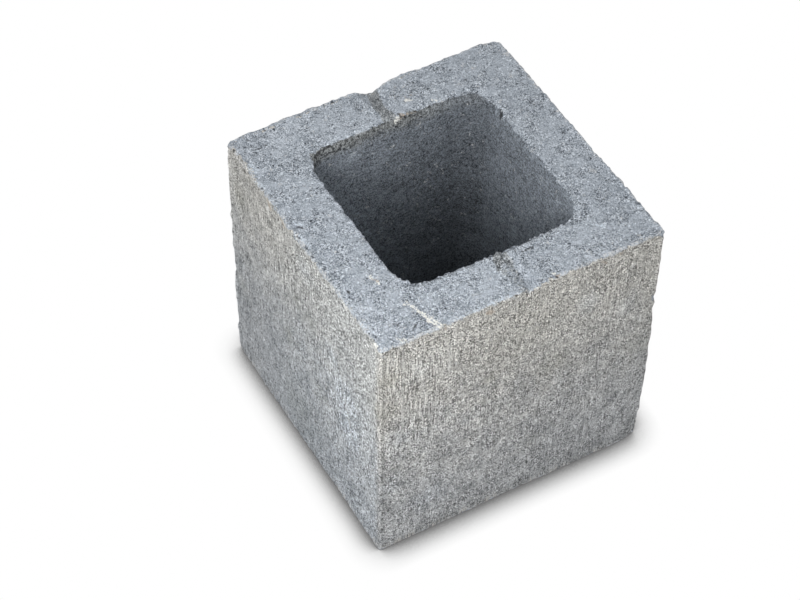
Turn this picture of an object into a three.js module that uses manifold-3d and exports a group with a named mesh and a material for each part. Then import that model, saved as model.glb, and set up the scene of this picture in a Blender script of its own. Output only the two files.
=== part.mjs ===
// A hollow concrete half block, moulded in one piece: four walls round a single
// square core that runs through it from bed to bed. It stands as it leaves the
// mould, with the wide mouth of the tapered core and the marks of the core bar
// in its top bed.
//
// Millimetres, +Z up. The origin is on the floor, under the middle of the block.
// Left and right, front and back are as seen from -Y.

import * as THREE from 'three';
import { mergeVertices } from 'three/addons/utils/BufferGeometryUtils.js';
import Module from 'manifold-3d';

// ---- Driving dimensions ----------------------------------------------------

// Outside
const BLOCK_LENGTH = 190; // along X
const BLOCK_WIDTH = 190; // along Y
const BLOCK_HEIGHT = 190; // from bed to bed, along Z
const CORNER_RADIUS = 2.4; // the four upright arrises
const BED_RADIUS = 1.5; // the arrises round both beds

// Core: its walls are thinner at the top bed, where the core former drew out
const WALL_AT_TOP = 33.5;
const WALL_AT_BOTTOM = 36.5;
const CORE_CORNER_RADIUS = 19;
const RIM_RADIUS = 1.2; // the lip of the core at both beds

// Marks of the core bar, which lay across the back and the front wall while the
// block was pressed. The bar's underside is a bell curve, and it dipped most at
// the back face.
const BAR_OFFSET = 4.3; // centre line of the bar, from the middle of the block
const BAR_HALF_WIDTH = 14.5;
const BAR_HEIGHT = 5.4; // from its shoulders down to its lowest line
const BACK_MARK = { depthAtFace: 5.4, depthAtCore: 0.5 };
const FRONT_MARK = { depthAtFace: 1.6, depthAtCore: 1 };

// Broken corners and edges. Each is a scoop: `depth` is how far it reaches below
// the arris, `spread` is its radius, and `stretch` makes it longer along X, Y, Z.
// `at` counts half lengths and half widths from the middle of the block, and
// whole heights from the floor.
const BREAKS = [
  // back right corner of the top bed
  { at: [1, 1, 1], depth: 2.6, spread: 8, stretch: [1, 1, 1] },
  // back left corner of the top bed
  { at: [-1, 1, 1], depth: 1.8, spread: 6, stretch: [1, 1, 1] },
  // left edge of the top bed, halfway
  { at: [-1, 0.02, 1], depth: 2, spread: 5, stretch: [1, 1.5, 1] },
  // back left upright arris, below the middle
  { at: [-1, 1, 0.42], depth: 1.9, spread: 5, stretch: [1, 1, 1.8] },
  // front right upright arris, above the middle and near the floor
  { at: [1, -1, 0.695], depth: 1.8, spread: 4, stretch: [1, 1, 1.3] },
  { at: [1, -1, 0.11], depth: 1.6, spread: 4, stretch: [1, 1, 1.4] },
  // back left and front right corner of the bottom bed
  { at: [-1, 1, 0], depth: 2.4, spread: 8, stretch: [1, 1, 1] },
  { at: [1, -1, 0], depth: 2.2, spread: 7, stretch: [1, 1, 1] },
];

// How finely curves are divided
const CORNER_STEPS = 4;
const CORE_CORNER_STEPS = 8;
const ARRIS_STEPS = 3;
const BAR_STEPS = 6;
const BREAK_DETAIL = 2;

// How far a cutter passes the face that it cuts
const OVERCUT = 5;

// ---- Worked out from them --------------------------------------------------

const HALF_LENGTH = BLOCK_LENGTH / 2;
const HALF_WIDTH = BLOCK_WIDTH / 2;
const CORE_TAPER = WALL_AT_BOTTOM - WALL_AT_TOP;

// ---- Shapes as solids ------------------------------------------------------

const wasm = await Module();
wasm.setup();

// A rounded rectangle at height z, as a ring of points that turns anticlockwise
// as seen from above
function roundedRing(halfX, halfY, radius, z, steps) {
  const corners = [[1, 1], [-1, 1], [-1, -1], [1, -1]];
  const ring = [];
  corners.forEach(([sideX, sideY], quarter) => {
    for (let i = 0; i <= steps; i += 1) {
      const turn = (quarter + i / steps) * (Math.PI / 2);
      const x = sideX * (halfX - radius) + radius * Math.cos(turn);
      const y = sideY * (halfY - radius) + radius * Math.sin(turn);
      ring.push(new THREE.Vector3(x, y, z));
    }
  });
  return ring;
}

// A closed body through a stack of such rings, from the lowest to the highest.
// The rings are convex, so a fan of triangles closes each end.
function loft(rings) {
  const count = rings[0].length;
  const positions = rings.flat().flatMap((point) => point.toArray());
  const faces = [];
  for (let level = 0; level < rings.length - 1; level += 1) {
    for (let i = 0; i < count; i += 1) {
      const a = level * count + i;
      const b = level * count + ((i + 1) % count);
      faces.push(a, b, b + count, a, b + count, a + count);
    }
  }
  const last = (rings.length - 1) * count;
  for (let i = 1; i < count - 1; i += 1) {
    faces.push(0, i + 1, i);
    faces.push(last, last + i, last + i + 1);
  }
  const geometry = new THREE.BufferGeometry();
  geometry.setAttribute('position', new THREE.Float32BufferAttribute(positions, 3));
  geometry.setIndex(faces);
  return geometry;
}

function toSolid(geometry) {
  const bare = geometry.clone();
  bare.deleteAttribute('normal');
  bare.deleteAttribute('uv');
  const merged = mergeVertices(bare);
  const vertProperties = new Float32Array(merged.attributes.position.array);
  const triVerts = new Uint32Array(merged.index.array);
  return new wasm.Manifold(new wasm.Mesh({ numProp: 3, vertProperties, triVerts }));
}

function toGeometry(solid) {
  const mesh = solid.getMesh();
  const geometry = new THREE.BufferGeometry();
  geometry.setAttribute('position', new THREE.BufferAttribute(mesh.vertProperties, 3));
  geometry.setIndex(new THREE.BufferAttribute(mesh.triVerts, 1));
  geometry.computeVertexNormals();
  return geometry;
}

// The rings of an upright body whose ends are rounded over by `radius`, from the
// floor to the top bed. `ringAt` draws one ring for a rounding, which is 1 on the
// bed and 0 past the curve, and a height.
function roundedEnds(radius, ringAt) {
  const lower = [];
  const upper = [];
  for (let i = 0; i <= ARRIS_STEPS; i += 1) {
    const angle = (i / ARRIS_STEPS) * (Math.PI / 2);
    const rounding = 1 - Math.sin(angle);
    const rise = radius * (1 - Math.cos(angle));
    lower.push(ringAt(rounding, rise));
    upper.unshift(ringAt(rounding, BLOCK_HEIGHT - rise));
  }
  return [...lower, ...upper];
}

// ---- The block and what is cut from it -------------------------------------

// The full block: upright faces between two beds, with rounded arrises
function fullBlock() {
  return loft(roundedEnds(BED_RADIUS, (rounding, z) => {
    const inset = rounding * BED_RADIUS;
    return roundedRing(HALF_LENGTH - inset, HALF_WIDTH - inset, CORNER_RADIUS, z, CORNER_STEPS);
  }));
}

// The core: a tapered square plug with round corners, which flares over the lips
// and passes both beds
function corePlug() {
  const ringAt = (rounding, z) => {
    const flare = rounding * RIM_RADIUS;
    const wall = WALL_AT_TOP + CORE_TAPER * (1 - z / BLOCK_HEIGHT) - flare;
    const radius = CORE_CORNER_RADIUS + flare;
    return roundedRing(HALF_LENGTH - wall, HALF_WIDTH - wall, radius, z, CORE_CORNER_STEPS);
  };
  return loft([
    ringAt(1, -OVERCUT),
    ...roundedEnds(RIM_RADIUS, ringAt),
    ringAt(1, BLOCK_HEIGHT + OVERCUT),
  ]);
}

// One mark of the core bar, as the stretch of bar that pressed it in: its lowest
// line runs straight from one depth at the outer face to another at the core
function barPlug(side, { depthAtFace, depthAtCore }) {
  const section = new THREE.Shape();
  // A bell from shoulder to shoulder: these handles make each half a cosine
  const reach = BAR_HALF_WIDTH * (1 - 2 / Math.PI);
  section.moveTo(-BAR_HALF_WIDTH, BAR_HEIGHT);
  section.bezierCurveTo(-BAR_HALF_WIDTH + reach, BAR_HEIGHT, -reach, 0, 0, 0);
  section.bezierCurveTo(reach, 0, BAR_HALF_WIDTH - reach, BAR_HEIGHT, BAR_HALF_WIDTH, BAR_HEIGHT);
  section.lineTo(BAR_HALF_WIDTH, BAR_HEIGHT + OVERCUT);
  section.lineTo(-BAR_HALF_WIDTH, BAR_HEIGHT + OVERCUT);
  const bar = new THREE.ExtrudeGeometry(section, {
    depth: WALL_AT_TOP + 2 * OVERCUT,
    bevelEnabled: false,
    curveSegments: BAR_STEPS,
  });
  const tilt = Math.atan((depthAtFace - depthAtCore) / WALL_AT_TOP);
  bar.translate(0, 0, -OVERCUT);
  bar.rotateX(Math.PI / 2 - tilt);
  bar.rotateZ(side > 0 ? 0 : Math.PI);
  bar.translate(BAR_OFFSET, side * HALF_WIDTH, BLOCK_HEIGHT - depthAtFace);
  return bar;
}

// The scoop of one break: a rough ball that comes in from outside, square to the
// corner or the edge that it breaks
function breakPlug({ at, depth, spread, stretch }) {
  const [x, y, up] = at;
  const onFace = (value) => (Math.abs(value) === 1 ? value : 0);
  const outwards = new THREE.Vector3(onFace(x), onFace(y), up === 0 ? -1 : onFace(up));
  const centre = new THREE.Vector3(x * HALF_LENGTH, y * HALF_WIDTH, up * BLOCK_HEIGHT);
  centre.addScaledVector(outwards.normalize(), spread - depth);
  const ball = new THREE.IcosahedronGeometry(spread, BREAK_DETAIL);
  ball.scale(...stretch);
  ball.translate(centre.x, centre.y, centre.z);
  return ball;
}

// ---- Assembly --------------------------------------------------------------

function blockGeometry() {
  const cutters = [
    corePlug(),
    barPlug(1, BACK_MARK),
    barPlug(-1, FRONT_MARK),
    ...BREAKS.map(breakPlug),
  ];
  const cut = (body, cutter) => body.subtract(toSolid(cutter));
  return toGeometry(cutters.reduce(cut, toSolid(fullBlock())));
}

const concrete = new THREE.MeshStandardMaterial({
  name: 'concrete',
  color: 0x9da1a4,
  roughness: 0.95,
  metalness: 0,
});

const block = new THREE.Mesh(blockGeometry(), concrete);
block.name = 'block';

const part = new THREE.Group();
part.name = 'concrete_block';
part.add(block);

export default part;
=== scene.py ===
from functools import partial, reduce

import bpy
import numpy as np
from bpy.props import FloatProperty, FloatVectorProperty, IntProperty, PointerProperty
from mathutils import Matrix, Vector


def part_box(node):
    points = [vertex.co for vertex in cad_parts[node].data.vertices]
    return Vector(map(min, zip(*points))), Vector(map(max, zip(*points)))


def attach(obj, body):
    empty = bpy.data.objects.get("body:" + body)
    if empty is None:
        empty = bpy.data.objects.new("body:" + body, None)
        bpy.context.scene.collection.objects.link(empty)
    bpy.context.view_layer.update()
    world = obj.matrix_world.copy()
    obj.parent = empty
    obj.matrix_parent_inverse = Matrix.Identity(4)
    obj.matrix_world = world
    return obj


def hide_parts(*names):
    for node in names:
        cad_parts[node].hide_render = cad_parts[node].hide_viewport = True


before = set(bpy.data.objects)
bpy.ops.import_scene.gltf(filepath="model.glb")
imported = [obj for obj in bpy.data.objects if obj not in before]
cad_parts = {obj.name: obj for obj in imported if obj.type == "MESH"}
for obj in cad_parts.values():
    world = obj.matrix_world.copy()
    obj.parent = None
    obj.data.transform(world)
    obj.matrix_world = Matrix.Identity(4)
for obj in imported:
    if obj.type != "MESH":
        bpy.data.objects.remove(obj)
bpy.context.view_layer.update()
LOW, HIGH = (np.array(corner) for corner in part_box("block"))

bl_info = {
    "name": "Hollow concrete block",
    "version": (1, 0, 0),
    "blender": (4, 5, 0),
    "location": "3D View > Sidebar > Block",
    "description": "A pressed concrete half block with its worn arrises, and a pale studio for it",
    "category": "Add Mesh",
}

MM = 0.001
HALF = (HIGH - LOW)[:2] / 2
HEIGHT = HIGH[2]

# Broken corners and edges: where the arris was, counted in half widths and whole heights, how deep
# the break goes and the radius of its scoop in millimetres, and how much longer the scoop is along
# X, Y and Z
BREAKS = (
    ((1, 1, 1), 2.6, 8, (1, 1, 1)), ((-1, 1, 1), 1.8, 6, (1, 1, 1)),
    ((-1, 0.02, 1), 2, 5, (1, 1.5, 1)), ((-1, 1, 0.42), 1.9, 5, (1, 1, 1.8)),
    ((1, -1, 0.695), 1.8, 4, (1, 1, 1.3)), ((1, -1, 0.11), 1.6, 4, (1, 1, 1.4)),
    ((-1, 1, 0), 2.4, 8, (1, 1, 1)), ((1, -1, 0), 2.2, 7, (1, 1, 1)),
)

# Marks that the surface carries, each as a stroke from one place to another with
# a half width, in millimetres. In these tables a place without a height lies on the
# top bed, and a height less than 0 counts down from it.
TOP = HEIGHT / MM
CHALK = (
    ((-65.2, -70.2), (-63.4, -73.2), 1), ((4, 61.5, -2), (6.4, 64.6, -0.5), 1.2),
    ((-62.9, -74.3), (-61.6, -78.4), 1.4), ((-61.1, -81.2), (-59.1, -86.2), 1.6),
    ((-58.5, -87.8), (-56.3, -94), 1.9), ((-73.4, -41.8), (-72.3, -44), 1.1),
    ((-71.4, -47.2), (-70.7, -49.2), 1), ((-80.4, -92.8), (-79.6, -94.8), 1.7),
    ((-81.6, -90), (-81.6, -92.6), 0.9), ((-82.4, -95, -1), (-82.2, -95, -2.5), 0.8),
    ((-94.7, -88.4), (-94.6, -89.8), 0.9), ((17, 74, -1), (20, 72.6, -1), 1.3),
    ((19.8, -92), (20.6, -93), 0.8), ((32.5, 66), (37, 64.8), 0.5),
    ((-95, 2.8, -35), (-95, 2.2, -38), 1), ((85.7, -95, 136), (85.7, -95, 133), 1.1),
)
PALE = (
    ((-92, 69), (-91.2, 65.2), 2.2), ((-93.4, 3.5), (-91.8, -5), 1.6),
    ((-90.5, 16), (-88.6, 12.6), 1.5), ((-83.8, -8), (-82.6, -9), 0.7), ((-80, -2), (-79, -3), 0.6),
    ((-94, 57), (-93.4, 50), 0.9), ((-85.8, 63.9), (-85, 63.5), 0.7),
    ((-66.3, 67.6), (-65.8, 67), 0.6), ((-93.4, -71.6), (-92.8, -75), 1.5),
    ((-92.4, -76.4), (-91.4, -80.8), 0.9), ((-93.6, -92.6), (-92.8, -93.6), 0.9),
    ((-25.8, -63.6), (-23.6, -64.6), 1.4), ((-36.6, -63.6), (-35.8, -64.6), 0.8),
    ((6, -62), (8.6, -60.5), 0.7), ((-10.4, -93.4), (-8.6, -93.8), 0.9),
    ((-36, 66.6), (-33.5, 65.8), 0.9), ((61, -70), (66, -74), 0.6),
    # The last one, along the front arris, is partly a painted highlight
    ((-50, -93.6), (-12, -93.8), 0.5),
)
TAN = (
    ((8.5, 64.8), (12, 63.4), 0.6), ((12, 63.4), (18, 62.2), 0.45),
    ((7.4, 62.4, -1), (8.2, 60.6, -2), 0.8), ((18.6, 76.8, -1), (22, 75.9, -1), 1.1),
    ((17.8, 70.6, -1), (18.4, 70.2, -1), 0.6), ((-72, -45), (-70.5, -48), 0.7),
    ((-95, 41, -2), (-95, 38, -7), 1.2), ((-95, 24, -2), (-95, 20, -6), 1.2),
    ((-25, -95, -5), (-21.5, -95, -7), 1.9), ((-53.2, -95, -3), (-52.7, -95, -5), 0.7),
    ((52, -95, -3.5), (55, -95, -5.5), 0.9), ((63.6, -95, -2.6), (66, -95, -3), 0.8),
    ((21, -94), (22.5, -94.6), 0.8),
)
# Dark strokes: painted shade in open pits, cracks and hollows under crumbs
DARK = (
    ((3.2, 93.6, -5), (4, 93.2, -5), 0.6), ((6.8, 91.6, -4), (7.2, 88.5, -4), 0.5),
    ((5, 83.4, -3), (5.5, 82.6, -3), 0.7), ((1.6, 77.5, -2), (2.2, 72, -1), 0.7),
    ((-6.5, 90, -3), (-5, 92, -3), 0.7), ((7.2, 66.6), (8, 62.5, -1), 0.6),
    ((14.5, -68.6), (20.6, -68.4), 0.9), ((20, -94.6), (21, -95), 0.6),
    ((-84.6, 80.6), (-79.6, 79.8), 0.5), ((-79.6, 79.8), (-75.1, 80.7), 0.3),
    ((-77.2, 72), (-76.4, 72), 0.6), ((-77.8, -26.8), (-77.2, -27.2), 0.6),
    ((-89.4, -47.2), (-89, -47.8), 0.7), ((-94.8, -13.2), (-94.2, -14), 0.5),
    ((-95, 51.5), (-94.7, 47), 0.35), ((-95, 86.4), (-94.6, 85.6), 0.7),
    ((-91, 13), (-87.5, 7.4), 0.5), ((-95, 5.2), (-94.6, 2.8), 0.4),
    ((-72, -90), (-67.5, -87), 0.4), ((-74, -86), (-79, -80), 0.5),
    ((85.6, 3.7), (87.2, 2.2), 0.45), ((90.3, 3.2), (90.7, 4.4), 0.35),
    ((63.4, 38.2), (62.4, 35.8, -2), 1.8), ((3.6, 60, -4), (6.8, 61, -5), 1.2),
    ((-64.8, -77.6), (-62.6, -81.6), 0.6), ((-80.6, -93.4), (-79.5, -95, -2.6), 0.4),
    ((-90.6, -76.8), (-90.2, -79.4), 0.3), ((22.6, 62), (24, 61, -1), 0.8),
    ((-53.2, 58.6, -1), (-49, 61, -1.5), 1.1), ((-46, 62, -1.5), (-41, 62, -2), 0.8),
    ((-76.4, -42.6), (-74.4, -43.2), 0.5), ((-23.6, -95, 180.5), (-21.2, -95, 181), 0.9),
    ((69.5, -95, 171.6), (72.5, -95, 172.4), 0.3), ((72.5, -95, 169.6), (78, -95, 166.5), 0.3),
    ((46.5, -95, 169), (49.8, -95, 169.3), 0.35), ((10, -95, 25), (10, -95, 22), 0.8),
    ((23, -95, 9), (23, -95, 7), 0.8),
)
# Pale drag lines down the faces, where grit was dragged along by the mould
DRAG = (
    ((-80.5, -95, 184), (-80, -95, 71), 0.6), ((-49.5, -95, 171), (-49.5, -95, 100), 0.7),
    ((-66, -95, 147), (-66, -95, 57), 0.5), ((-95, -92.4, 189), (-95, -91.8, 168), 1.2),
    ((-95, -17.7, 79), (-95, -53, 67), 0.8), ((-95, -42, 142), (-95, -61, 73), 0.7),
    ((-95, -22, 117), (-95, -30, 89), 0.5),
)
STROKES = {"chalk": CHALK, "pale": PALE, "tan": TAN, "dark": DARK, "drag": DRAG}
# Broad patches that are darker than the surface around them, or paler: the middle,
# how far it reaches in millimetres, and the change in brightness
PATCHES = (
    ((-21, -95, 123), 5, -0.16), ((23, -95, 112), 9, -0.2), ((12, -95, 41), 7, -0.12),
    ((-84, -95, 104), 9, 0.09), ((-60, -95, 34), 12, 0.09), ((45, -95, 156), 8, 0.12),
    ((73, -95, 135), 8, 0.09), ((-89, -95, 163), 7, -0.17), ((-90, -95, 134), 8, -0.12),
    ((-95, -89, 136), 6, -0.1), ((-70, -95, 160), 9, 0.05), ((0, -95, 152), 26, -0.06),
    ((-88, -95, 60), 9, 0.08), ((87, -95, 95), 12, -0.1), ((-95, 80, 154), 8, -0.16),
    ((-95, 84, 68), 9, -0.12), ((-95, 7, 131), 7, -0.12), ((-95, -10, 131), 6, -0.14),
    ((-95, 19, 89), 9, -0.14), ((-95, -23, 73), 8, -0.1), ((-95, -4, 170), 9, 0.1),
    ((-95, -36, 127), 7, 0.1), ((-95, -52, 104), 12, 0.16), ((-95, -58, 76), 11, 0.12),
    ((-95, 10, 26), 16, -0.08), ((-95, 0, 35), 30, -0.07), ((-95, -62, 100), 26, 0.06),
    ((-60, -95, 95), 30, 0.03), ((-62, -95, 158), 20, 0.025), ((-62, -76), 13, -0.08),
    ((32, 84), 18, 0.06), ((-66, -18), 20, -0.04), ((66, -8), 16, -0.03),
    ((88.3, 4.2), 2.4, -0.28),
)
# Small wear along the outer arrises, beside the breaks: the middle, how far it
# reaches and how much is lost there, in millimetres; less than 0 leaves more. The
# last one is a small hole in the core's lip.
WEAR = (
    ((-92, 95), 6, 1.1), ((-74, 95), 7, 0.9), ((-58, 95), 3, -0.7), ((-39, 95), 4, -0.8),
    ((-28, 95), 5, 0.5), ((11, 95), 6, 0.3), ((29, 95), 3, -0.5), ((40, 95), 5, 0.7),
    ((53, 95), 4, 0.6), ((90, 95), 4.5, 0.9), ((95, 70), 16, -0.2), ((95, -19), 7, 0.6),
    ((95, -48), 10, -0.6), ((95, -78), 14, 0.3), ((95, -89), 4, -0.9), ((95, -95, 121), 5, 1.4),
    ((95, -95, 98), 5, -0.5), ((95, -95, 34), 8, 0.5), ((95, -95, 14), 7, 1.8),
    ((95, -95, 2), 7, 2.4), ((-95, 95, 183), 8, 0.6), ((-95, 95, 168), 7, 0.6),
    ((-95, 95, 70), 8, 0.3), ((-95, 95, 29), 6, 0.3), ((-95, 95, 2), 6, 0.6),
    ((63, 37.4, -0.5), 1.8, 3),
)
# How much darker the front upright arris is painted than the faces beside it, by height: painted
# shade that tones down the light it catches
ARRIS_SHADE_AT, ARRIS_SHADE_BY = (60, 90, 130, 160, 175, 188), (0.1, 0.18, 0.06, 0.24, 0.2, 0.04)
# Where the core bar lay and left the grain coarse and duller: how far from the middle plane, and
# the two sides of the mark there, in millimetres
FRONT_MARK = ((62, -2.5, 7), (66, -4.8, 6.4), (74, -6.6, 5.2), (84, -4.8, 3.4), (95, -4.4, 3.8))
BACK_MARK = ((62, -4, 6), (70, -3.2, 5.4), (78, -4, 4.6), (86, -1.5, 6.4), (95, 2, 8.4))


# ---- What a user may change -------------------------------------------------


def length(name, millimetres, description):
    """A length, as a property."""
    return FloatProperty(
        name=name, description=description, default=millimetres * MM,
        min=0, precision=4, unit="LENGTH",
    )


def angle(name, degrees, description):
    """An angle, as a property."""
    return FloatProperty(
        name=name, description=description, default=np.radians(degrees), subtype="ANGLE"
    )


def colour(name, default, description):
    """A colour, as a property."""
    return FloatVectorProperty(
        name=name, description=description, default=default, min=0, max=1, size=3, subtype="COLOR"
    )


class BlockShape(bpy.types.PropertyGroup):
    """Sizes of the block's walls, arrises and marks."""

    wall_top: length("Wall at top bed", 33.5, "Thickness of the walls at the top bed")
    wall_bottom: length("Wall at bottom bed", 36.5, "Thickness of the walls at the bottom bed")
    corner_radius: length("Corner radius", 1.3, "Radius of the upright arrises")
    bed_radius: length("Bed arris", 1.0, "Radius of the arrises round both beds")
    core_radius: length("Core corner radius", 19, "Radius of the core's corners")
    core_shift: length("Core shift", 0.6, "How far the core stands off centre, back and right")
    rim_radius: length("Core lip", 1.1, "Radius of the core's lips")
    bar_offset: length("Bar offset", 4.3, "Centre line of the bar marks, from the middle")
    bar_half_width: length("Bar half width", 14.5, "Half the width of the bar's underside")
    bar_height: length("Bar height", 5.4, "From the bar's shoulders to its lowest line")
    crumble: length("Crumble", 1.1, "How deep crumbs are lost along the arrises")
    grain: length("Grain", 0.16, "Height of the grain on the beds")
    columns: IntProperty(
        name="Columns", description="Faces round the block", default=800, min=80, step=4
    )


class BlockFinish(bpy.types.PropertyGroup):
    """Colours of the concrete."""

    bed: colour("Bed", (0.425, 0.467, 0.521), "Open grain of the beds")
    mark: colour("Bar mark", (0.358, 0.38, 0.396), "Coarse grain in the marks of the core bar")
    paste: colour("Drawn paste", (0.471, 0.462, 0.434), "Cement paste drawn up the faces")
    body: colour("Face", (0.41, 0.422, 0.434), "Faces lower down")
    # The core and its lip are darker than the faces: painted shade of the deep core over the
    # concrete's own tone
    core: colour("Core", (0.214, 0.239, 0.27), "Walls of the core")
    core_lip: colour("Core lip", (0.222, 0.234, 0.237), "Crumbling concrete under the core's lip")
    chalk: colour("Chalk", (0.89, 0.89, 0.85), "Scratches and lime")
    pale: colour("Pale grains", (0.68, 0.75, 0.83), "Quartz and fresh broken grains")
    # Pale along the outer arrises: partly dry crumbs and partly a painted highlight where the
    # arrises catch the light
    crumb: colour("Arris crumbs", (0.66, 0.67, 0.68), "Dry crumbs along the outer arrises")
    tan: colour("Tan stone", (0.51, 0.435, 0.36), "Tan stones in the grain")
    # Painted shade of open pits, cracks and hollows, near black
    pit_shade: colour("Pit shade", (0.035, 0.036, 0.038), "Open pits and cracks")


class Studio(bpy.types.PropertyGroup):
    """Floor, lamps and camera."""

    floor: colour("Floor", (0.3, 0.3, 0.3), "The floor's own colour")
    shadow_reach: length("Shadow reach", 20, "How far the soft shadow spreads from the block")
    azimuth: angle("Azimuth", 30.299, "Heading of the view, from +Y towards +X")
    elevation: angle("Elevation", 48.633, "How far the view looks down")
    roll: angle("Roll", 0.933, "How far the camera leans")
    distance: length("Distance", 1460, "From the camera to the middle of the view")
    lens: FloatProperty(name="Lens", description="Focal length in millimetres", default=105.65)


# ---- Shape ------------------------------------------------------------------


class Noise:
    """Smooth random numbers from -1 to 1 that fill space, the same at each run:
    numbers on a cubic lattice, blended along smooth curves in between. Wavelengths
    are in millimetres."""

    def __init__(self, seed, size=48):
        self.size = size
        self.table = np.random.default_rng(seed).uniform(-1, 1, (size, size, size))

    def __call__(self, points, wavelength):
        place = points / (np.asarray(wavelength) * MM)
        cell = np.floor(place).astype(int)
        part = place - cell
        part = part * part * (3 - 2 * part)
        value = np.zeros(points.shape[:-1])
        for corner in np.ndindex(2, 2, 2):
            weight = np.where(corner, part, 1 - part).prod(axis=-1)
            index = (cell + corner) % self.size
            value += weight * self.table[index[..., 0], index[..., 1], index[..., 2]]
        return value

    def layered(self, points, wavelength):
        """Noise in three layers, each of half the wavelength and weight of the last."""
        total = 0
        for layer, part in enumerate((1, 2, 4)):
            total = total + self(points + 0.37 * layer, wavelength / part) / part
        return total / 1.75


class Grains:
    """Grains packed through space, one in each cell of a cubic lattice, at a random
    place in it."""

    def __init__(self, seed, size=40):
        self.size = size
        self.places = np.random.default_rng(seed).uniform(0, 1, (size, size, size, 3))

    def __call__(self, points, width):
        """How far each point is from the middle of the nearest grain, in widths. The
        width is in millimetres."""
        place = points / (width * MM)
        cell = np.floor(place).astype(int)
        nearest = np.full(points.shape[:-1], 2.0)
        for step in np.ndindex(3, 3, 3):
            here = cell + step - 1
            index = here % self.size
            middle = here + self.places[index[..., 0], index[..., 1], index[..., 2]]
            nearest = np.minimum(nearest, np.linalg.norm(place - middle, axis=-1))
        return nearest


def smooth_step(low, high, value):
    """0 below low, 1 above high, and a smooth rise between."""
    part = np.clip((value - low) / (high - low), 0, 1)
    return part * part * (3 - 2 * part)


def rounded_square(turn, half, radius, arc_share):
    """Points of a square with round corners. turn runs from 0 to 4, and each whole
    number is the diagonal of a corner. From there a quarter runs round half a
    corner, straight along a side and round half the next corner; arc_share is the
    part of the quarter that the two arcs take."""
    quarter = np.floor(turn)
    part = turn - quarter
    arc = arc_share / 2
    bend = np.clip(part / arc, 0, 1) + np.clip((part - 1 + arc) / arc, 0, 1)
    angle = (quarter + 0.5) * np.pi / 2 + bend * np.pi / 4
    along = np.clip((part - arc) / (1 - 2 * arc), 0, 1)
    signs = np.array([[1, 1], [-1, 1], [-1, -1], [1, -1]])
    corner = quarter.astype(int)
    here, after = signs[corner % 4], signs[(corner + 1) % 4]
    side = here + (after - here) * along[..., None]
    x = side[..., 0] * (half[0] - radius) + radius * np.cos(angle)
    y = side[..., 1] * (half[1] - radius) + radius * np.sin(angle)
    return np.stack([x, y], axis=-1)


def wall_section(shape):
    """The wall's section as one closed line: how far each point lies from the core
    to the outer face, from 0 to 1, and its height. It runs up the core, round the
    lip, over the top bed, round the arris, down the face and back underneath."""
    rim, bed = shape.rim_radius, shape.bed_radius

    def steps(count):
        return np.arange(count) / count

    up = 1 - (1 - steps(18)) ** 2.2
    down = steps(48) - 0.4 * np.sin(2 * np.pi * steps(48)) / (2 * np.pi)
    lip, arris, foot, heel = (steps(count) * np.pi / 2 for count in (6, 6, 5, 3))
    rim_top, rim_bottom = rim / shape.wall_top, rim / shape.wall_bottom
    bed_top, bed_bottom = 1 - bed / shape.wall_top, 1 - bed / shape.wall_bottom
    lines = (
        (0 * up, rim + up * (HEIGHT - 2 * rim)),
        (rim_top * (1 - np.cos(lip)), HEIGHT - rim * (1 - np.sin(lip))),
        (rim_top + (bed_top - rim_top) * steps(32), np.full(32, HEIGHT)),
        (bed_top + (1 - bed_top) * np.sin(arris), HEIGHT - bed * (1 - np.cos(arris))),
        (np.ones(48), HEIGHT - bed - down * (HEIGHT - 2 * bed)),
        (1 - (1 - bed_bottom) * (1 - np.cos(foot)), bed * (1 - np.sin(foot))),
        (bed_bottom - (bed_bottom - rim_bottom) * steps(6), np.zeros(6)),
        (rim_bottom * (1 - np.sin(heel)), rim * (1 - np.cos(heel))),
    )
    share, height = (np.concatenate(column) for column in zip(*lines))
    return share, height


def plain_block(shape):
    """The unworn block on a grid: each row is one point of the wall's section,
    carried round the block between the core's outline and the outer one."""
    share, height = wall_section(shape)
    turn = np.arange(shape.columns) / shape.columns * 4
    wall = shape.wall_bottom + (shape.wall_top - shape.wall_bottom) * height / HEIGHT
    core_half = HALF[:, None, None] - wall[:, None]
    side = 2 * core_half.mean() - 2 * shape.core_radius
    arcs = shape.core_radius * np.pi / 2
    turns = np.broadcast_to(turn, (len(height), shape.columns))
    core = rounded_square(turns, core_half, shape.core_radius, arcs / (arcs + side))
    outer = rounded_square(turns, HALF, shape.corner_radius, 0.08)
    flat = core + shape.core_shift
    flat = flat + (outer - flat) * share[:, None, None]
    z = np.broadcast_to(height[:, None], turns.shape)
    return np.concatenate([flat, z[..., None]], axis=-1), np.broadcast_to(share[:, None], z.shape)


def outward(points):
    """Outward normals of the closed grid: across the column's run and the row's."""
    runs = (np.roll(points, -1, axis) - np.roll(points, 1, axis) for axis in (0, 1))
    normal = np.cross(*runs)
    return normal / np.linalg.norm(normal, axis=-1, keepdims=True)


def bar_marks(points, shape):
    """How deep the core bar pressed into the top bed: a bell across the bar, deepest
    at the back face and run out at the core, and shallow over the front wall."""
    x, y = points[..., 0], points[..., 1]
    across = np.clip((x - shape.bar_offset) / shape.bar_half_width, -1, 1)
    bell = shape.bar_height * np.cos(across * np.pi / 2) ** 2
    inner = HALF[1] - shape.wall_top
    back = np.interp(y, (inner, HALF[1]), (0.5 * MM, 5.4 * MM))
    front = np.interp(-y, (inner, HALF[1]), (1.0 * MM, 1.6 * MM))
    deepest = np.where(y > 0, back, front)
    on_walls = smooth_step(inner - 4 * MM, inner, np.abs(y))
    return np.maximum(bell - (shape.bar_height - deepest), 0) * on_walls


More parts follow.
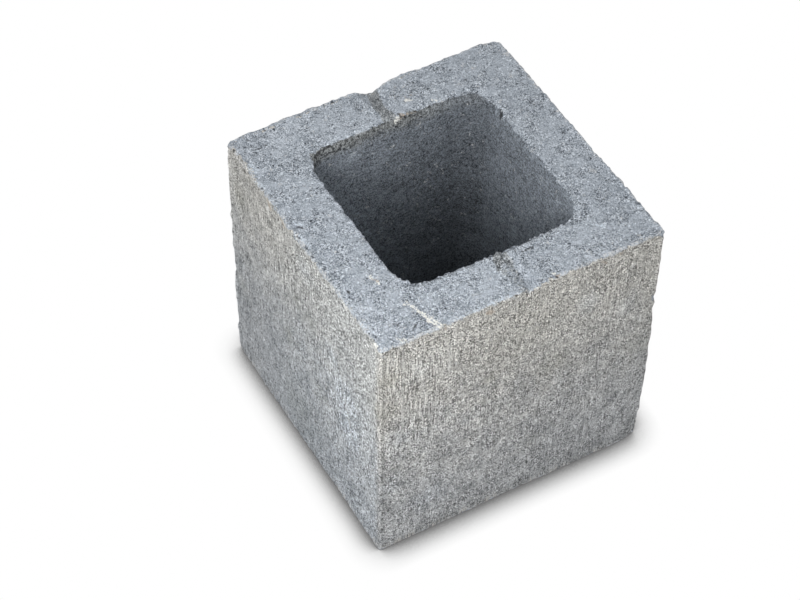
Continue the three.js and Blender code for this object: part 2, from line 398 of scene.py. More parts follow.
def scoop(points, place, depth, radius, stretch):
    """Points inside the scoop's ball are pushed out to its surface, straight away
    from its centre, which lies outside the block in line with the arris."""
    depth, radius = depth * MM, radius * MM
    corner = np.array(place, float)
    towards = np.where(np.abs(corner) == 1, corner, 0)
    towards[2] = -1 if corner[2] == 0 else towards[2]
    towards /= np.linalg.norm(towards)
    centre = corner * (*HALF, HEIGHT) + towards * (radius - depth)
    away = (points - centre) / stretch
    distance = np.linalg.norm(away, axis=-1, keepdims=True)
    pushed = centre + away / np.maximum(distance, 1e-9) * radius * stretch
    return np.where(distance < radius, pushed, points), distance[..., 0] < radius * 1.05


def located(place):
    """A place in the tables, in millimetres from the floor."""
    x, y, height = (*place, 0)[:3]
    return np.array([x, y, height if height > 0 else TOP + height])


def stroke_distance(points, strokes):
    """How far each point is from the edge of the nearest stroke, in millimetres,
    less than 0 on the stroke itself, and never more than 20."""
    nearest = np.full(points.shape[:-1], 20.0)
    for start, end, half_width in strokes:
        start, end = located(start) * MM, located(end) * MM
        run = end - start
        part = np.clip(((points - start) @ run) / (run @ run), 0, 1)
        distance = np.linalg.norm(points - start - part[..., None] * run, axis=-1)
        nearest = np.minimum(nearest, distance / MM - half_width)
    return nearest


def spots(points, table):
    """The sum of the table's spots at each point. A spot has its full amount in its
    middle, and fades out as a bell over its reach."""
    total = np.zeros(points.shape[:-1])
    for middle, reach, amount in table:
        apart = np.linalg.norm(points / MM - located(middle), axis=-1)
        total += amount * np.exp(-((apart / reach) ** 2))
    return total


def close_to(distance, full, none):
    """1 nearer than full, 0 further than none, both in millimetres, and a smooth
    fall between."""
    return 1 - smooth_step(full * MM, none * MM, distance)


class Places:
    """Where the points of the unworn block lie: their coordinates in millimetres,
    which surface they are on, how far they are from its edges in metres, and how
    near, from 0 to 1."""

    def __init__(self, points, share, shape):
        self.points = points
        self.share = share
        self.x, self.y, self.z = np.moveaxis(points, -1, 0) / MM
        self.normal = outward(points)
        level = np.abs(self.normal[..., 2])
        self.bed = smooth_step(0.35, 0.8, level)
        self.inside = (share < 0.5) * 1.0
        self.face = (share > 0.5) * (1 - self.bed)
        to_faces = np.abs(HALF - np.abs(points[..., :2]))
        to_core = share * shape.wall_top
        to_bed = np.minimum(points[..., 2], HEIGHT - points[..., 2])
        to_sides = np.concatenate([to_faces, to_bed[..., None]], axis=-1)
        self.to_arris = np.sort(to_sides, axis=-1)[..., 1]
        self.to_rim = np.where(share < 0.5, np.hypot(to_core, to_bed), HALF[0])
        self.reach = np.where(level > 0.6, np.minimum(to_faces.min(axis=-1), to_core), -to_bed)
        self.upright = smooth_step(6 * MM, 14 * MM, to_bed)
        self.foot = np.interp(self.z, (4, 12), (0.4, 1))
        self.near_arris = close_to(self.to_arris, 0.5, 3.5) * self.foot
        sides = (-self.y, self.y, self.x)
        self.front, self.back, self.right = (smooth_step(52, 60, side) for side in sides)
        self.crumbs = self.packed_crumbs(0, 3.4)
        self.small_crumbs = self.packed_crumbs(0.5, 2.3)

    def packed_crumbs(self, shift, width):
        """Round crumbs side by side: 1 in their middles and 0 in their gaps."""
        return np.clip(1.15 - 1.3 * Grains(5)(self.points + shift, width), 0, 1)


def coarse_marks(at):
    """Where the core bar left the grain coarse, from 0 to 1: nearly all of it on the
    back wall and beside the core, and less towards the front face."""
    left, right = (np.where(
        at.y > 0,
        np.interp(at.y, *np.transpose(BACK_MARK)[[0, side]]),
        np.interp(-at.y, *np.transpose(FRONT_MARK)[[0, side]]),
    ) for side in (1, 2))
    mark = smooth_step(left - 1.5, left + 1.5, at.x) * smooth_step(right + 1.5, right - 1.5, at.x)
    mark = mark * smooth_step(TOP - 9, TOP - 2, at.z) * (np.abs(at.y) > 55)
    return mark * np.interp(-at.y, (55, 68, 76, 86, 91), (0.9, 0.85, 0.42, 0.36, 0.42))


def losses(at, shape):
    """How much is lost along the outer arrises and round the core's lips, in metres:
    what crumbs and larger pieces take, and the sum of that and all other wear. The
    lips of the front, back and right walls stand back, and the back one most."""
    broad, crumb = Noise(3), Noise(11)
    about_arris = close_to(at.to_arris, 1, 7) * at.foot
    near_rim, about_rim = close_to(at.to_rim, 0.5, 3.2), close_to(at.to_rim, 0.5, 6)
    rim_wear = 0.45 + 0.55 * smooth_step(-60, -52, at.x)
    receded = 1.05 * at.front + 1.05 * at.back + 0.85 * at.right
    lost = np.clip(crumb.layered(at.points, 6) * 1.5 - 0.1, 0, 1)
    lost = lost * (1 - 0.5 * at.upright)
    lost_piece = np.clip(broad.layered(at.points, 13) * 2.2 - 0.7, 0, 1)
    lost_piece = lost_piece * (1 - 0.7 * at.upright)
    lost_rim = np.clip(crumb.layered(at.points + 1, 4.6) * 1.6 + 0.2, 0, 1)
    ragged = 1.4 * lost_rim + 1.2 * (1 - at.small_crumbs) - 1.1
    to_crumbs = shape.crumble * (
        at.near_arris * lost
        + 1.4 * about_arris * lost_piece
        + near_rim * rim_wear * ragged * (1 - at.back)
    )
    loss = to_crumbs + shape.crumble * (
        near_rim * at.back * ragged
        + near_rim * receded
        + about_rim * at.back * (0.6 * lost_rim + 0.7)
    )
    # The back right corner of the core, and the upright arris at the back left
    corner_reach = np.hypot(at.x - 56, at.y - 56) / 11
    loss += 1.7 * MM * about_rim * np.exp(-(corner_reach**2))
    loss += 0.55 * MM * smooth_step(184, 189, at.y - at.x) * at.upright
    loss += 0.55 * MM * at.near_arris * crumb(at.points + 4, 2.2)
    loss += 0.6 * MM * near_rim * crumb(at.points + 6, 1.7)
    return to_crumbs, loss + spots(at.points, WEAR) * MM


def surface_relief(at, shape, mark):
    """How far each point stands out before its losses, in metres: open grain and
    holes on the beds, drawn lines and pits on the faces, a rougher core, slow waves
    all over, coarse crumbs where the bar lay, and a little more at the arrises."""
    broad, crumb, fine = Noise(3), Noise(11), Noise(29)
    points = at.points
    grain = 1.7 * at.crumbs + fine(points, 2.3) + 1.2 * fine(points, 6) - 0.9
    holes = np.clip(fine(points + 2, 3.6) - 0.5, 0, 1) * 2.0 * MM
    drawn = 0.16 * MM * fine(points, (2.8, 2.8, 30)) + 0.1 * MM * crumb(points, 5)
    pits = np.clip(crumb(points + 3, (4, 4, 3.5)) - 0.5, 0, 1) * 1.2 * MM
    pits = pits * (1 + 0.8 * (at.x < -94))
    rough_core = 0.3 * MM * fine(points, (4, 4, 14)) + 0.25 * MM * crumb(points, 9)
    relief = at.bed * (shape.grain * grain - holes) + at.face * (drawn - pits)
    relief = relief + at.inside * (1 - at.bed) * rough_core + 0.3 * MM * broad(points, 45)
    relief += mark * (0.9 * at.small_crumbs - 0.5) * MM
    fin = at.back * smooth_step(-5, -15, at.x) * smooth_step(85, 90, at.y)
    return relief + (0.15 + (0.45 + 0.4 * fin) * at.near_arris) * MM


def worn_block(shape):
    """The block with its marks, breaks, crumbled arrises and grain, and the masks
    that its finish follows."""
    at = Places(*plain_block(shape), shape)
    points = at.points.copy()
    sink = bar_marks(points, shape)
    points[..., 2] -= sink * smooth_step(HEIGHT - 30 * MM, HEIGHT, points[..., 2])
    broken = np.zeros(at.share.shape)
    for place, depth, radius, stretch in BREAKS:
        points, hit = scoop(points, place, depth, radius, stretch)
        broken = np.maximum(broken, hit)
    mark = coarse_marks(at)
    to_crumbs, loss = losses(at, shape)
    relief = surface_relief(at, shape, mark) - loss
    points = points + at.normal * relief[..., None]
    points[..., 2] = np.clip(points[..., 2], 0, None)

    outer = at.share > 0.5
    far_side = np.maximum(smooth_step(86, 90, at.y), smooth_step(86, 90, at.x))
    far_arris = at.near_arris * outer * far_side * smooth_step(TOP - 6, TOP - 3, at.z)
    crumbled = np.clip(to_crumbs / shape.crumble, 0, 1)
    from_front_arris = np.hypot(at.x + 94, at.y + 95)
    masks = {
        "reach": at.reach / MM,
        "inside": at.inside,
        "wear": np.maximum.reduce([broken, far_arris, crumbled]),
        "mark": mark,
        # Along the outer arrises: dry crumbs and a painted highlight
        "arris_crumbs_and_highlight": close_to(at.to_arris, 0.3, 2.8) * outer * (1 - at.upright),
        "rim": close_to(at.to_rim, 1, 6) * (1 - at.inside * (1 - at.bed)) * at.front,
        "back_rim": at.back * smooth_step(40, 30, at.x),
        "patch": spots(at.points, PATCHES),
        "arris_shade": np.interp(at.z, ARRIS_SHADE_AT, ARRIS_SHADE_BY) * np.exp(-((from_front_arris / 2) ** 2)),
    }
    for name, strokes in STROKES.items():
        masks[name] = stroke_distance(at.points, strokes)
    return points, masks


def closed_grid(name, points, masks):
    """A mesh from a grid that closes on itself both ways, with the masks on its
    points."""
    rows, columns = points.shape[:2]
    index = np.arange(rows * columns).reshape(rows, columns)
    below = np.roll(index, -1, axis=0)
    beside, across = np.roll(index, -1, axis=1), np.roll(below, -1, axis=1)
    faces = np.stack([index, below, across, beside], axis=-1)
    mesh = bpy.data.meshes.new(name)
    mesh.vertices.add(index.size)
    mesh.vertices.foreach_set("co", points.astype(np.float32).ravel())
    mesh.loops.add(faces.size)
    mesh.loops.foreach_set("vertex_index", faces.astype(np.int32).ravel())
    mesh.polygons.add(index.size)
    mesh.polygons.foreach_set("loop_start", np.arange(0, faces.size, 4, dtype=np.int32))
    for mask, values in masks.items():
        attribute = mesh.attributes.new(mask, "FLOAT", "POINT")
        attribute.data.foreach_set("value", values.astype(np.float32).ravel())
    mesh.update(calc_edges=True)
    mesh.shade_smooth()
    return mesh


# ---- Finish -----------------------------------------------------------------


# Colours of the smallest details; the gaps, hollows and pits are painted shade in small recesses
GLINT = (0.8, 0.86, 0.93)
BED_GAP_SHADE = (0.058, 0.07, 0.086)
BED_HOLLOW_SHADE = (0.052, 0.062, 0.076)
FACE_PIT_SHADE = (0.084, 0.08, 0.074)
FACE_FLECK = (0.82, 0.82, 0.8)
DRAG_LINE = (0.76, 0.76, 0.74)
PASTE_COMB = (0.66, 0.62, 0.56)
CORE_PIT_SHADE = (0.025, 0.026, 0.028)
CORE_FLECK = (0.45, 0.45, 0.44)
# Tints that other colours are multiplied by
COOL = (0.92, 1, 1.1)
BROWN = (1, 1, 0.965)
BLUE = (0.97, 1, 1.04)


class Wiring:
    """Adds nodes to a material or the world, which it empties first. Each method but
    the first three returns the new node's output. Sizes are in millimetres."""

    def __init__(self, owner):
        owner.use_nodes = True
        self.tree = owner.node_tree
        self.tree.nodes.clear()
        self.place = self.node("TexCoord").outputs["Object"]

    def node(self, kind, inputs=(), **settings):
        """A new shader node. Its inputs, by name or in order, are each given a number,
        a colour or an output."""
        made = self.tree.nodes.new("ShaderNode" + kind)
        for name, value in settings.items():
            setattr(made, name, value)
        for name, value in inputs.items() if isinstance(inputs, dict) else enumerate(inputs):
            socket = made.inputs[name]
            if isinstance(value, bpy.types.NodeSocket):
                self.tree.links.new(value, socket)
            else:
                socket.default_value = (*value, 1) if socket.type == "RGBA" else value
        return made

    def end(self, shader, kind="OutputMaterial"):
        """Makes the shader the surface."""
        self.node(kind, {"Surface": shader.outputs[0]})

    def axes(self):
        """The three coordinates of the place, in metres."""
        return self.node("SeparateXYZ", [self.place]).outputs

    def mask(self, name):
        return self.node("Attribute", attribute_name=name).outputs["Fac"]

    def math(self, operation, a, b=0):
        return self.node("Math", (a, b), operation=operation).outputs[0]

    def total(self, *terms):
        """The sum of the terms. A pair is a value and its weight."""
        values = [self.scaled(*term) if isinstance(term, tuple) else term for term in terms]
        return reduce(partial(self.math, "ADD"), values)

    def scaled(self, *factors):
        return reduce(partial(self.math, "MULTIPLY"), factors)

    def most(self, *values):
        return reduce(partial(self.math, "MAXIMUM"), values)

    def centred(self, *terms):
        """The sum of patterns of 0 to 1, each less a half and times its weight."""
        return self.total(*((self.total(pattern, -0.5), weight) for pattern, weight in terms))

    def spread(self, value, low, high, to_low=0, to_high=1, smooth=False):
        """Maps low..high to to_low..to_high, and holds the ends."""
        ends = value, low, high, to_low, to_high
        how = "SMOOTHSTEP" if smooth else "LINEAR"
        return self.node("MapRange", ends, interpolation_type=how).outputs["Result"]

    def between(self, factor, at_none, at_full):
        """One number where the factor is 0, and another where it is 1."""
        return self.spread(factor, 0, 1, at_none, at_full)

    def blend(self, factor, a, b, how="MIX"):
        inputs = {"Factor": factor, 6: a, 7: b}
        return self.node("Mix", inputs, data_type="RGBA", blend_type=how).outputs[2]

    def painted(self, base, *coats):
        """A colour with coats over it. A pair is how far the coat covers, and its colour."""
        for cover, colour in coats:
            base = self.blend(cover, base, colour)
        return base

    def toned(self, factor, base, tint):
        """A colour that is multiplied by a tint as far as the factor says."""
        return self.blend(factor, base, self.blend(1, base, tint, "MULTIPLY"))

    def brighten(self, base, factor):
        """A colour times a number."""
        inputs = {0: base, "Scale": factor}
        return self.node("VectorMath", inputs, operation="SCALE").outputs[0]

    def levelled(self, base, level):
        """A colour times a number; its tint does not grow as fast as its brightness."""
        saturation = self.spread(level, 0.4, 1.6, 1.35, 0.75)
        inputs = {"Color": base, "Saturation": saturation}
        return self.brighten(self.node("HueSaturation", inputs).outputs[0], level)

    def pattern(self, kind, size, stretch, shift, inputs=(), **settings):
        """A pattern with lumps of the given size, made longer along X, Y, Z."""
        scale, location = [1 / s for s in stretch], (shift, shift * 0.7, shift * 0.3)
        place = self.node("Mapping", {"Vector": self.place, "Scale": scale, "Location": location})
        inputs = {"Vector": place.outputs[0], "Scale": 1 / (size * MM), **dict(inputs)}
        return self.node(kind, inputs, **settings).outputs

    def noise(self, size, detail=2, stretch=(1, 1, 1), shift=0, roughness=0.5):
        """Soft noise, about 0 to 1."""
        inputs = {"Detail": detail, "Roughness": roughness}
        return self.pattern("TexNoise", size, stretch, shift, inputs)[0]

    def cells(self, size, stretch=(1, 1, 1), shift=0):
        """Grains: the distance from each one's middle, and two random numbers for each."""
        distance, colour = self.pattern("TexVoronoi", size, stretch, shift, feature="F1")[:2]
        parts = self.node("SeparateColor", [colour]).outputs
        return distance, parts[0], parts[1]


def bed_finish(w, finish, mark, rim, patch):
    """Open grain: pale and dark sand of 0.5 and 1.4 mm, in loose clumps, with white glints, and
    painted shade in its gaps and hollows. It is coarser and duller where the bar lay, and broken up
    along the front lip, and calmer in some stretches than in others."""
    near, tone, kind = w.cells(0.48)
    near_mid, tone_mid, kind_mid = w.cells(1.4, shift=0.3)
    clump = w.noise(4.5, 3, shift=0.1)
    mottle = w.noise(11, 2, shift=0.9)
    broad = w.noise(38, 2, shift=0.5)
    open_grain = w.most(mark, w.scaled(rim, 0.8))
    rougher = w.total(w.spread(mottle, 0.36, 0.62, 0.62, 1.42), (open_grain, 0.55))
    level = w.centred((tone, 1.08), (tone_mid, 0.16), (clump, 0.4))
    drift = w.centred((mottle, -0.3)), w.centred((broad, 0.4))
    level = w.total(1, (level, rougher), *drift, patch)
    glint = w.scaled(w.spread(kind_mid, 0.9, 0.94), w.spread(near_mid, 0.55, 0.35))
    hollow = w.scaled(w.spread(w.noise(1.7, 1, shift=1.9), 0.335, 0.26), rougher)
    packed = w.total(kind, (clump, 0.9), (rougher, -0.1), (mark, -0.1))
    gap = w.scaled(w.spread(packed, 0.46, 0.36), w.spread(near, 0.8, 0.5))
    coloured = w.painted(
        w.levelled(w.blend(mark, finish.bed, finish.mark), w.most(level, 0.12)),
        (w.scaled(glint, 0.85), GLINT),
        (w.scaled(gap, 0.74), BED_GAP_SHADE),
        (w.scaled(hollow, 0.85), BED_HOLLOW_SHADE),
    )
    height = w.total((near_mid, -0.32), (tone, 0.22), (gap, -0.4), (hollow, -0.4))
    return coloured, height


def face_finish(w, finish, reach, drag, patch):
    """Paste drawn up the mould: fine upright lines, small torn pits, and a warm pale
    skin that thins out towards the floor. The left face is cooler and smoother, dark
    patches are browner and pale ones bluer, and short combs of paste hang under the
    top bed."""
    tone = w.cells(0.46, (1, 2, 1.3))[1]
    near_mid, tone_mid, _ = w.cells(1.4, (1, 1.3, 1.3), 0.5)
    lines = w.noise(0.8, 2, (1, 1.5, 18), 0.2)
    torn = w.noise(0.9, 2, (1, 1.8, 1.5), 0.7, 0.6)
    ticks = w.noise(1.1, 1, (1, 1.3, 3), 0.15)
    cracks = w.noise(1.2, 1, (2.4, 2, 0.8), 0.45)
    hollow = w.noise(1.9, 1, (1, 1.5, 1.4), 1.9)
    clump = w.noise(4.2, 3, (1, 1.2, 1.2), 0.8)
    mottle = w.noise(12, 3, shift=0.4)

    # Where it is: left is 1 on the left and back faces and 0 on the other two
    x, y, z = w.axes()
    across = w.math("SUBTRACT", x, y)
    from_front = w.math("ABSOLUTE", across)
    left = w.spread(w.total(across, (mottle, 0.006)), 0.002, -0.004)
    smooth_left = w.scaled(left, w.spread(from_front, 0.05, 0.15))
    warm = w.scaled(smooth_left, w.spread(z, 0.1, 0.15))

    # Upright lines, and how far paste has filled the grain
    lined = w.spread(w.noise(30, 2, (1, 1, 2.5), 0.35), 0.42, 0.6, 0.6, 2)
    combed = w.scaled(w.spread(x, -0.035, -0.07), w.spread(z, 0.06, 0.12), w.spread(left, 1, 0))
    lined = w.total(lined, (warm, 1.35), (combed, 0.75))
    smoothed = w.noise(3.4, 2, (1, 1.2, 1.5), 1.2)
    smoothed = w.spread(smoothed, 0.4, 0.58, w.between(left, 0.5, 0.75), 1.22)
    speckle = w.spread(w.total(left, smooth_left), 0, 2, 2.08, 1.1)
    fine = w.total(
        (w.centred((tone, speckle)), smoothed),
        w.centred((tone_mid, w.between(left, 0.08, 0.16))),
        w.centred((lines, lined)),
    )
    coarse = w.centred((clump, 0.95), (mottle, 0.92))
    lower, upper = w.between(left, 1.08, 0.9), w.between(left, 0.72, 0.7)
    coarse = w.scaled(coarse, w.spread(z, 0.05, 0.15, lower, upper))
    contrast = w.scaled(
        w.spread(w.total(z, (from_front, -0.35)), -0.05, 0.09, 0.78, 1.12),
        w.between(smooth_left, 1, 0.79),
        w.spread(w.total(x, (left, 0.09)), -0.09, 0.09, 1.12, 0.9),
        w.spread(w.noise(8, 2, shift=2.1), 0.36, 0.62, 0.74, 1.3),
    )

    # Brightness: paler towards the top and towards the front and back upright arrises, partly the
    # paste's skin and partly painted light
    pale = w.spread(w.total(z, (from_front, -0.3)), 0, 0.08, 1.165, 1.235)
    # Darker towards the floor on the front and right faces
    darker_at_foot = w.spread(w.total(z, (mottle, 0.01)), 0.008, 0.02, 0.8, 1)
    # Painted shade along the front upright arris
    arris_shaded = w.total(1, (w.mask("arris_shade"), -1))
    patched = w.total(1, (patch, w.spread(mottle, 0.35, 0.65, 0.5, 1.5)))
    level = w.spread(w.total((fine, contrast), coarse), -0.8, 0.8, 0.2, 1.8)
    level = w.scaled(level, pale, w.scaled(w.most(darker_at_foot, left), arris_shaded), patched)

    # Pits, ticks, cracks, hollows and flecks; all but the flecks take painted shade
    pit = w.scaled(w.spread(torn, 0.385, 0.335), w.total(contrast, (left, 0.15)))
    tick = w.scaled(w.spread(ticks, 0.34, 0.27, smooth=True), w.between(left, 0.4, 1))
    cracks = w.scaled(w.spread(cracks, 0.345, 0.305), w.between(left, 0.95, 0.7))
    hollow = w.scaled(w.spread(hollow, 0.33, 0.285), w.between(left, 0.75, 0.95))
    hollow = w.scaled(hollow, w.spread(z, 0.09, 0.16, 1, 0.72))
    pit = w.most(w.most(pit, tick), w.most(hollow, cracks))
    fleck = w.scaled(w.spread(torn, 0.6, 0.72, smooth=True), contrast)
    comb = w.scaled(
        w.spread(reach, -6, -0.5),
        w.spread(lines, 0.48, 0.6),
        w.spread(mottle, 0.42, 0.55),
    )

    # Colour
    skin = w.total(z, (mottle, 0.1), (x, -0.08), (y, -0.2))
    cool = w.math("SUBTRACT", left, w.scaled(warm, 0.8))
    cool = w.scaled(cool, w.spread(y, 0, 0.07, 0.55, 0.25))
    plain = w.blend(w.spread(skin, 0.08, 0.25, smooth=True), finish.body, finish.paste)
    plain = w.toned(cool, plain, COOL)
    plain = w.toned(w.spread(patch, 0, -0.15), plain, BROWN)
    plain = w.toned(w.spread(patch, 0, 0.12), plain, BLUE)
    coloured = w.painted(
        w.levelled(plain, level),
        (w.scaled(pit, w.spread(z, 0.09, 0.16, 0.75, 0.67)), FACE_PIT_SHADE),
        (w.scaled(fleck, 0.27), FACE_FLECK),
        (w.scaled(drag, 0.4), DRAG_LINE),
        (w.scaled(comb, 0.6), PASTE_COMB),
    )
    height = w.total((lines, 0.35), (near_mid, -0.15), (pit, -0.4), (tone, 0.15))
    return coloured, height


def core_finish(w, finish, reach):
    """The core's walls: close, flat and dark, with fine streaks, and with a brown crumbling band
    under the back wall's lip that fades out downwards. Their darkness is painted shade of the deep
    core over the concrete's own tone, and their pits take painted shade too. Their paint also evens
    out the studio's light with painted light and shade: it is paler low down, most of all at the
    left of the back wall, and darker at the right of the back wall."""
    tone = w.cells(0.6, (1, 1, 1.2), 0.9)[1]
    near_mid, tone_mid, _ = w.cells(1.8, shift=0.2)
    streaks = w.noise(1.5, 2, (6, 6, 1), 0.5)
    mottle = w.noise(9, 3, (1.5, 1.5, 1), 0.6)
    torn = w.noise(1.6, 2, shift=0.15)
    x, y, z = w.axes()

    # Painted light and shade by place
    low = w.spread(z, 0.17, 0.09, smooth=True)
    dim = w.total(w.spread(z, 0.18, 0.15, 0.05, 0.225), (low, 0.06))
    dim = w.scaled(dim, w.spread(x, -0.005, 0.04, smooth=True))
    dim = w.total(dim, (w.spread(x, 0.04, 0.05), 0.12))
    deeper = w.scaled(w.spread(z, 0.188, 0.172), w.total(0.34, (low, 0.56)))
    lighter = w.scaled(w.spread(x, 0.008, -0.047, smooth=True), deeper)
    on_back = w.scaled(
        w.spread(y, 0.038, 0.054, smooth=True),
        w.total(lighter, (low, 0.1), -0.1, (dim, -1)),
    )
    on_right = w.spread(w.total(y, z), 0.155, 0.115, 0, 0.24)
    evened = w.total(1.1, on_back, (on_right, w.spread(x, 0.045, 0.055)))

    # The band under the lip
    back = w.scaled(w.spread(y, 0.049, 0.058), w.spread(x, 0.045, 0.015, 0.35, 1))
    depth = w.total(reach, (mottle, 14), (torn, 8))
    lip = w.scaled(w.spread(depth, -3, 8.5, smooth=True), back)
    at_lip = w.scaled(w.spread(w.total(reach, (mottle, 5)), -8.5, -3.5), back)
    crumbling = w.spread(x, -0.034, -0.026, w.spread(reach, -6, -3.8, 0.13, 0), 0.01)
    crumbling = w.scaled(at_lip, crumbling)
    pit = w.spread(w.math("SUBTRACT", torn, crumbling), 0.42, 0.32)
    pit = w.scaled(pit, w.between(at_lip, 0.45, 1))
    fleck = w.scaled(w.spread(torn, 0.6, 0.7), at_lip)

    level = w.centred((tone, 1.25), (tone_mid, 0.3), (streaks, 0.8), (mottle, 0.8))
    level = w.scaled(w.total(1, (level, w.between(lip, 1, 1.2))), evened)
    coloured = w.painted(
        w.brighten(w.blend(lip, finish.core, finish.core_lip), level),
        (w.scaled(pit, 0.8), CORE_PIT_SHADE),
        (w.scaled(fleck, 0.35), CORE_FLECK),
    )
    height = w.total((near_mid, -0.35), (tone, 0.15), (pit, -0.6))
    return coloured, height


def concrete(finish):
    """The block's one material: three surfaces of the same concrete, with ragged
    borders, and the marks over them."""
    material = bpy.data.materials.new("pressed_concrete")
    w = Wiring(material)
    fine_rag = w.total(w.noise(1.6, 2, shift=1.3), -0.5)
    broad_rag = w.total(w.noise(6, 2, shift=1.7), -0.5)

    def within(distance, fine, broad):
        """1 where a distance in millimetres, made ragged, is less than 0."""
        ragged = w.total(distance, (fine_rag, fine), (broad_rag, broad))
        return w.spread(ragged, 0.25, -0.25)

    reach = w.mask("reach")
    patch = w.mask("patch")
    inside = w.spread(w.mask("inside"), 0.4, 0.6)
    wear = w.spread(w.total(w.mask("wear"), (fine_rag, 1.2)), 0.35, 0.6)
    mark = w.spread(w.total(w.mask("mark"), fine_rag, broad_rag), 0.3, 0.6)
    off_bed = within(w.total(reach, 0.5, (w.mask("back_rim"), -2.2)), 3.5, 9)
    bed = w.most(w.math("SUBTRACT", 1, off_bed), wear)

    drag = within(w.mask("drag"), 3, 3)
    bed_colour, bed_height = bed_finish(w, finish, mark, w.mask("rim"), patch)
    face_colour, face_height = face_finish(w, finish, reach, drag, patch)
    core_colour, core_height = core_finish(w, finish, reach)

    # Arris crumbs, partly a painted highlight along the arrises, chalk and pale grains are broken
    # up into specks
    broken = w.cells(0.8, shift=2.5)[1]
    arris_crumbs_and_highlight = w.total(w.mask("arris_crumbs_and_highlight"), (fine_rag, 3.6), (broad_rag, 4))
    arris_crumbs_and_highlight = w.scaled(w.spread(arris_crumbs_and_highlight, 0.8, 1.25), w.spread(broken, 0.42, 0.6, 0.06, 0.95))
    pale = w.scaled(within(w.mask("pale"), 5, 3), w.spread(broken, 0.3, 0.6, 0.1, 0.9))
    chalk = w.scaled(within(w.mask("chalk"), 5, 2), w.spread(broken, 0.28, 0.5, 0.1, 1))
    tan = w.scaled(within(w.mask("tan"), 3, 1.5), 0.7)
    # The dark strokes are painted shade, nearly black in their middles
    to_dark = w.mask("dark")
    dark = w.scaled(within(to_dark, 3, 1), w.spread(to_dark, -0.6, -1.4, 0.82, 0.97))
    base = w.painted(
        face_colour,
        (inside, core_colour),
        (bed, bed_colour),
        (arris_crumbs_and_highlight, finish.crumb),
        (pale, finish.pale),
        (chalk, finish.chalk),
        (tan, finish.tan),
        (dark, finish.pit_shade),
    )
    height = w.painted(face_height, (inside, core_height), (bed, bed_height))
    bump = w.node("Bump", {"Strength": 1, "Distance": 1 * MM, "Height": height})
    surface = {"Base Color": base, "Normal": bump.outputs[0], "Roughness": 0.92}
    w.end(w.node("BsdfPrincipled", {**surface, "Specular IOR Level": 0.25}))
    return material


# ---- Studio -----------------------------------------------------------------


# Strength and power of the painted shadow beside the left face and before the front face
LEFT_SHADOW, LEFT_POWER = 2.8, 1.7
FRONT_SHADOW, FRONT_POWER = 2.3, 1.28
# The darkest that the painted shadow gets, and how bright the floor under the core is: a painted
# shade
DARKEST = 0.165
UNDER_CORE = 0.2
SKY_LIGHT = 0.67
FLOOR_REACH = 4
SOFTBOX_SIZE = 0.2
VIEW_MIDDLE = Vector((-0.0243, 0.0058, HEIGHT / 2))


def camera_rays(w):
    """1 for what is seen directly, in a gloss or through glass, and 0 for light that
    falls on other things."""
    path = w.node("LightPath").outputs
    return w.most(path["Is Camera Ray"], path["Is Glossy Ray"], path["Is Transmission Ray"])


def floor_material(studio):
    """A pale floor. Where it is seen it is white, less a painted soft shadow round the block: the
    shadow's strength times the share of the sky that the block hides within reach, raised to the
    power. Under the core it is darker, a painted shade where the floor sees little of the sky."""
    material = bpy.data.materials.new("studio_floor")
    w = Wiring(material)
    near = w.node("AmbientOcclusion", {"Distance": studio.shadow_reach}, samples=8)
    hidden = w.math("SUBTRACT", 1, near.outputs["AO"])
    x, y, _ = w.axes()
    front = w.spread(w.math("SUBTRACT", x, y), -0.03, 0.03)
    bent = w.math("POWER", hidden, w.between(front, LEFT_POWER, FRONT_POWER))
    shadow = w.scaled(bent, w.between(front, LEFT_SHADOW, FRONT_SHADOW))
    shadow = w.most(w.math("SUBTRACT", 1, shadow), DARKEST)
    aside = w.most(w.math("ABSOLUTE", x), w.math("ABSOLUTE", y))
    core_edge = w.spread(aside, HALF[0] - 0.035, HALF[0] - 0.02, UNDER_CORE, 1)
    lit = w.node("BsdfDiffuse", {"Color": studio.floor})
    seen = w.node("Emission", {"Strength": w.scaled(shadow, core_edge)})
    w.end(w.node("MixShader", (camera_rays(w), lit.outputs[0], seen.outputs[0])))
    return material


def build_floor(studio):
    """A square floor under the block."""
    mesh = bpy.data.meshes.new("studio_floor")
    signs = ((-1, -1), (1, -1), (1, 1), (-1, 1))
    corners = [(FLOOR_REACH * x, FLOOR_REACH * y, 0) for x, y in signs]
    mesh.from_pydata(corners, [], [(0, 1, 2, 3)])
    mesh.materials.append(floor_material(studio))
    floor = bpy.data.objects.new("studio_floor", mesh)
    bpy.context.scene.collection.objects.link(floor)


def build_world():
    """White where it is seen, and a soft even light on the block."""
    world = bpy.data.worlds.new("studio_world")
    w = Wiring(world)
    strength = w.between(camera_rays(w), SKY_LIGHT, 1)
    background = w.node("Background", {"Color": (1, 1, 1), "Strength": strength})
    w.end(background, "OutputWorld")
    bpy.context.scene.world = world


def add_softbox(name, place, power):
    """A square area lamp that faces the middle of the block."""
    lamp = bpy.data.lights.new(name, "AREA")
    lamp.size = SOFTBOX_SIZE
    lamp.energy = power
    softbox = bpy.data.objects.new(name, lamp)
    direction = Vector((0, 0, HEIGHT / 2)) - Vector(place)
    turn = direction.to_track_quat("-Z", "Y").to_matrix().to_4x4()
    softbox.matrix_world = Matrix.Translation(place) @ turn
    softbox.visible_camera = False
    bpy.context.scene.collection.objects.link(softbox)


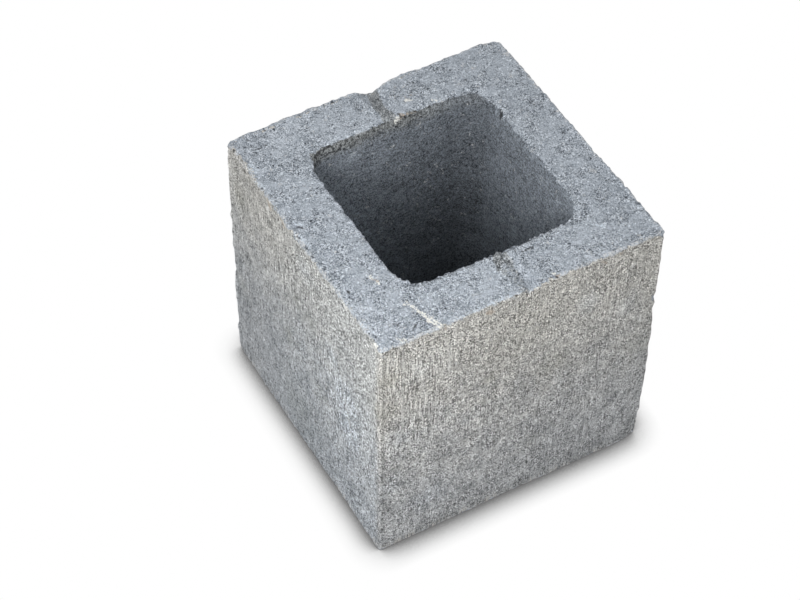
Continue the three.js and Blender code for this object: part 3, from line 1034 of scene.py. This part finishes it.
def build_camera(studio):
    """A camera with the given heading, elevation, roll, and distance to the middle
    of the view."""
    flat, down = np.cos(studio.elevation), np.sin(studio.elevation)
    ahead = Vector((flat * np.sin(studio.azimuth), flat * np.cos(studio.azimuth), -down))
    level = ahead.cross(Vector((0, 0, 1))).normalized()
    above = level.cross(ahead)
    right = level * np.cos(studio.roll) + above * np.sin(studio.roll)
    up = right.cross(ahead)
    camera = bpy.data.cameras.new("studio_camera")
    camera.sensor_width = 36
    camera.lens = studio.lens
    view = bpy.data.objects.new("studio_camera", camera)
    turn = Matrix((right, up, -ahead)).transposed().to_4x4()
    view.matrix_world = Matrix.Translation(VIEW_MIDDLE - ahead * studio.distance) @ turn
    bpy.context.scene.collection.objects.link(view)
    bpy.context.scene.camera = view


# ---- Add-on -----------------------------------------------------------------


class BLOCK_OT_build(bpy.types.Operator):
    """Build the hollow concrete block, with its marks, breaks and finish."""

    bl_idname = "block.build"
    bl_label = "Concrete block"

    def execute(self, context):
        points, masks = worn_block(context.scene.block_shape)
        mesh = closed_grid("concrete_block", points, masks)
        mesh.materials.append(concrete(context.scene.block_finish))
        block = bpy.data.objects.new("concrete_block", mesh)
        context.scene.collection.objects.link(block)
        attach(block, "root")
        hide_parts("block")
        return {"FINISHED"}


class BLOCK_OT_studio(bpy.types.Operator):
    """Set out the floor, the soft light and the camera."""

    bl_idname = "block.studio"
    bl_label = "Studio"

    def execute(self, context):
        studio = context.scene.block_studio
        context.scene.view_settings.view_transform = "Standard"
        build_floor(studio)
        build_world()
        add_softbox("left_softbox", (-0.42, -0.36, 0.42), power=1.2)
        add_softbox("right_softbox", (-0.3, -0.3, 0.45), power=0.7)
        build_camera(studio)
        return {"FINISHED"}


class BLOCK_PT_panel(bpy.types.Panel):
    """Lists the block's operators and sizes."""

    bl_label = "Concrete block"
    bl_idname = "BLOCK_PT_panel"
    bl_space_type = "VIEW_3D"
    bl_region_type = "UI"
    bl_category = "Block"

    def draw(self, context):
        for operator, settings in OPERATORS:
            self.layout.operator(operator.bl_idname)
            group = getattr(context.scene, settings)
            for name in group.bl_rna.properties.keys():
                if name not in ("rna_type", "name"):
                    self.layout.prop(group, name)


OPERATORS = ((BLOCK_OT_build, "block_shape"), (BLOCK_OT_studio, "block_studio"))
GROUPS = (("block_shape", BlockShape), ("block_finish", BlockFinish), ("block_studio", Studio))
CLASSES = (BlockShape, BlockFinish, Studio, BLOCK_OT_build, BLOCK_OT_studio, BLOCK_PT_panel)


def register():
    for kind in CLASSES:
        bpy.utils.register_class(kind)
    for name, group in GROUPS:
        setattr(bpy.types.Scene, name, PointerProperty(type=group))


def unregister():
    for name, _ in GROUPS:
        delattr(bpy.types.Scene, name)
    for kind in reversed(CLASSES):
        bpy.utils.unregister_class(kind)


def main():
    """Registers the add-on and builds the block and the studio."""
    register()
    bpy.ops.block.build()
    bpy.ops.block.studio()


if __name__ == "__main__":
    main()
